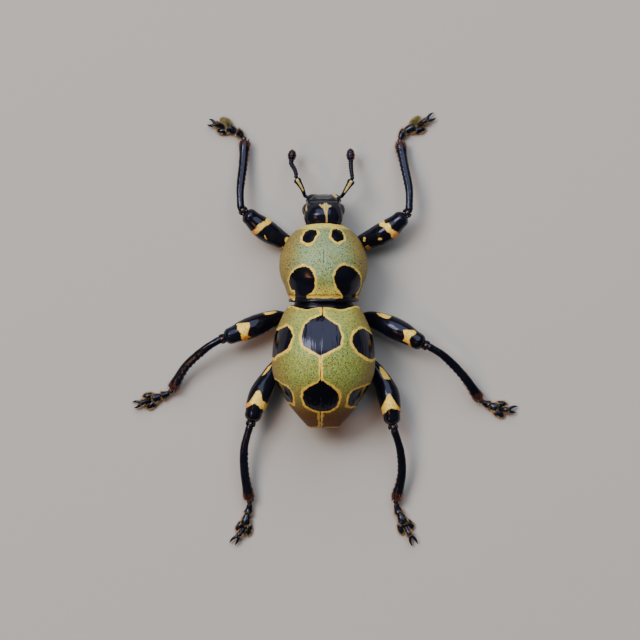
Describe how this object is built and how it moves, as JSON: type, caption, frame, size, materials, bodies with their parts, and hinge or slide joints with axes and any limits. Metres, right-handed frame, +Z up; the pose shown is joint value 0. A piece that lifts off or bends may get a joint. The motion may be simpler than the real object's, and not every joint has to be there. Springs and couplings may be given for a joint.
{
  "type": "spotted snout weevil",
  "caption": "Life-size model of a domed snout weevil with black spots on green scales, elbowed feelers and clubbed thighs, standing with its legs spread.",
  "frame": {"origin": "on the floor, below the centre of the box round the spread legs", "axes": "+Y towards the head, +X to the insect's right, +Z up"},
  "size_m": [0.0265, 0.0299, 0.0067],
  "materials": {
    "scaled_shell": "black shell with a close coat of pale green scales, gold at its rims",
    "black_shell": "smooth black with a blue gloss and cream scale spots",
    "eye": "glossy black lens of many facets",
    "foot": "black joints with grey and orange bristles"
  },
  "bodies": {
    "root": {"abdomen": "black_shell", "elytra": "scaled_shell", "eye_left": "eye", "eye_right": "eye", "feeler_left_club": "black_shell", "feeler_left_funicle": "black_shell", "feeler_left_scape": "black_shell", "feeler_right_club": "black_shell", "feeler_right_funicle": "black_shell", "feeler_right_scape": "black_shell", "head": "black_shell", "leg_front_left_coxa": "black_shell", "leg_front_left_femur": "black_shell", "leg_front_left_tarsus": "foot", "leg_front_left_tibia": "black_shell", "leg_front_right_coxa": "black_shell", "leg_front_right_femur": "black_shell", "leg_front_right_tarsus": "foot", "leg_front_right_tibia": "black_shell", "leg_hind_left_coxa": "black_shell", "leg_hind_left_femur": "black_shell", "leg_hind_left_tarsus": "foot", "leg_hind_left_tibia": "black_shell", "leg_hind_right_coxa": "black_shell", "leg_hind_right_femur": "black_shell", "leg_hind_right_tarsus": "foot", "leg_hind_right_tibia": "black_shell", "leg_middle_left_coxa": "black_shell", "leg_middle_left_femur": "black_shell", "leg_middle_left_tarsus": "foot", "leg_middle_left_tibia": "black_shell", "leg_middle_right_coxa": "black_shell", "leg_middle_right_femur": "black_shell", "leg_middle_right_tarsus": "foot", "leg_middle_right_tibia": "black_shell", "prothorax": "scaled_shell", "pterothorax": "black_shell"}
  },
  "joints": []
}
